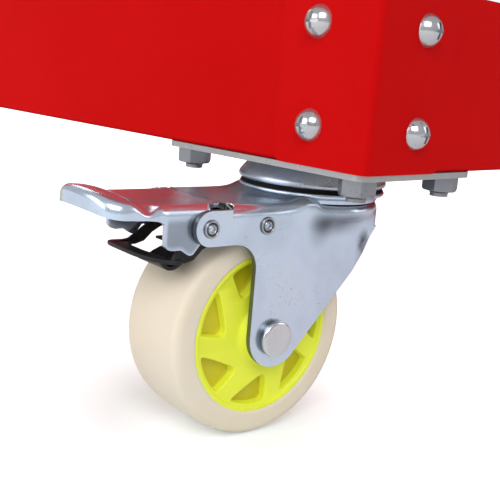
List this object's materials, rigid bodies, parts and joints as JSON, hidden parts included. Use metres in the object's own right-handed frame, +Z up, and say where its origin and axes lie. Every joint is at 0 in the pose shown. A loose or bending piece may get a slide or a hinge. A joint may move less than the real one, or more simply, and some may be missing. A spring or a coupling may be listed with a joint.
{
  "type": "three-tier service cart",
  "caption": "Service cart with three deep sheet-metal trays on angle posts, a push handle, and swivel casters with pressed forks, pinwheel hubs and foot brakes.",
  "frame": {"origin": "floor level under the middle of the bounding box", "axes": "+X along the cart from the handle's end to the far end, +Y across it, +Z up"},
  "size_m": [0.9554, 0.4482, 0.8557],
  "materials": {
    "red_paint": "gloss red powder coat",
    "zinc": "bright zinc plate",
    "black_paint": "black, slightly worn",
    "tread": "off-white nylon",
    "hub": "bright yellow-green moulding",
    "grip": "matt black"
  },
  "bodies": {
    "cart_frame": {"tray_bottom": "red_paint", "tray_middle": "red_paint", "tray_top": "red_paint", "post_front_left": "red_paint", "post_front_right": "red_paint", "post_rear_left": "red_paint", "post_rear_right": "red_paint", "tray_screws": "zinc", "tray_nuts": "zinc", "handle_bar": "red_paint", "handle_grip": "grip", "handle_screws": "zinc", "caster_bolts": "zinc", "caster_nuts": "zinc", "plate_front_left": "zinc", "race_cup_front_left": "zinc", "kingpin_front_left": "zinc", "plate_rear_left": "zinc", "race_cup_rear_left": "zinc", "kingpin_rear_left": "zinc", "plate_front_right": "zinc", "race_cup_front_right": "zinc", "kingpin_front_right": "zinc", "plate_rear_right": "zinc", "race_cup_rear_right": "zinc", "kingpin_rear_right": "zinc"},
    "swivel_front_left": {"fork_front_left": "zinc", "axle_front_left": "zinc", "bush_front_left": "zinc", "balls_front_left": "zinc", "brake_spring_front_left": "zinc", "brake_rivets_front_left": "zinc"},
    "wheel_front_left": {"tyre_front_left": "tread", "hub_front_left": "hub"},
    "pedal_front_left": {"brake_pedal_front_left": "zinc"},
    "shoe_front_left": {"brake_shoe_front_left": "black_paint"},
    "swivel_rear_left": {"fork_rear_left": "zinc", "axle_rear_left": "zinc", "bush_rear_left": "zinc", "balls_rear_left": "zinc", "brake_spring_rear_left": "zinc", "brake_rivets_rear_left": "zinc"},
    "wheel_rear_left": {"tyre_rear_left": "tread", "hub_rear_left": "hub"},
    "pedal_rear_left": {"brake_pedal_rear_left": "zinc"},
    "shoe_rear_left": {"brake_shoe_rear_left": "black_paint"},
    "swivel_front_right": {"fork_front_right": "zinc", "axle_front_right": "zinc", "bush_front_right": "zinc", "balls_front_right": "zinc"},
    "wheel_front_right": {"tyre_front_right": "tread", "hub_front_right": "hub"},
    "swivel_rear_right": {"fork_rear_right": "zinc", "axle_rear_right": "zinc", "bush_rear_right": "zinc", "balls_rear_right": "zinc"},
    "wheel_rear_right": {"tyre_rear_right": "tread", "hub_rear_right": "hub"}
  },
  "joints": [
    {"name": "swivel_front_left", "type": "hinge", "parent": "cart_frame", "child": "swivel_front_left", "pos_m": [-0.37667, -0.17145, 0.0972], "axis": [0, 0, 1], "continuous": true},
    {"name": "wheel_spin_front_left", "type": "hinge", "parent": "swivel_front_left", "child": "wheel_front_left", "pos_m": [-0.40655, -0.16873, 0.0375], "axis": [-0.0906, -0.9959, 0], "continuous": true},
    {"name": "brake_pedal_front_left", "type": "hinge", "parent": "swivel_front_left", "child": "pedal_front_left", "pos_m": [-0.43603, -0.16605, 0.0767], "axis": [-0.0906, -0.9959, 0], "range_deg": [0, 13.5]},
    {"name": "brake_shoe_front_left", "type": "hinge", "parent": "swivel_front_left", "child": "shoe_front_left", "pos_m": [-0.41352, -0.1681, 0.0767], "axis": [-0.0906, -0.9959, 0], "range_deg": [0, 4.7]},
    {"name": "swivel_rear_left", "type": "hinge", "parent": "cart_frame", "child": "swivel_rear_left", "pos_m": [-0.37667, 0.17145, 0.0972], "axis": [0, 0, 1], "continuous": true},
    {"name": "wheel_spin_rear_left", "type": "hinge", "parent": "swivel_rear_left", "child": "wheel_rear_left", "pos_m": [-0.40655, 0.16873, 0.0375], "axis": [0.0906, -0.9959, 0], "continuous": true},
    {"name": "brake_pedal_rear_left", "type": "hinge", "parent": "swivel_rear_left", "child": "pedal_rear_left", "pos_m": [-0.43603, 0.16605, 0.0767], "axis": [0.0906, -0.9959, 0], "range_deg": [0, 13.5]},
    {"name": "brake_shoe_rear_left", "type": "hinge", "parent": "swivel_rear_left", "child": "shoe_rear_left", "pos_m": [-0.41352, 0.1681, 0.0767], "axis": [0.0906, -0.9959, 0], "range_deg": [0, 4.7]},
    {"name": "swivel_front_right", "type": "hinge", "parent": "cart_frame", "child": "swivel_front_right", "pos_m": [0.41023, -0.17145, 0.0972], "axis": [0, 0, 1], "continuous": true},
    {"name": "wheel_spin_front_right", "type": "hinge", "parent": "swivel_front_right", "child": "wheel_front_right", "pos_m": [0.44022, -0.17145, 0.0375], "axis": [0, 1, 0], "continuous": true},
    {"name": "swivel_rear_right", "type": "hinge", "parent": "cart_frame", "child": "swivel_rear_right", "pos_m": [0.41023, 0.17145, 0.0972], "axis": [0, 0, 1], "continuous": true},
    {"name": "wheel_spin_rear_right", "type": "hinge", "parent": "swivel_rear_right", "child": "wheel_rear_right", "pos_m": [0.44022, 0.17145, 0.0375], "axis": [0, 1, 0], "continuous": true}
  ],
  "couplings": [
    {"joint": "brake_shoe_front_left", "follows": "brake_pedal_front_left", "ratio": 0.34},
    {"joint": "brake_shoe_rear_left", "follows": "brake_pedal_rear_left", "ratio": 0.34}
  ]
}
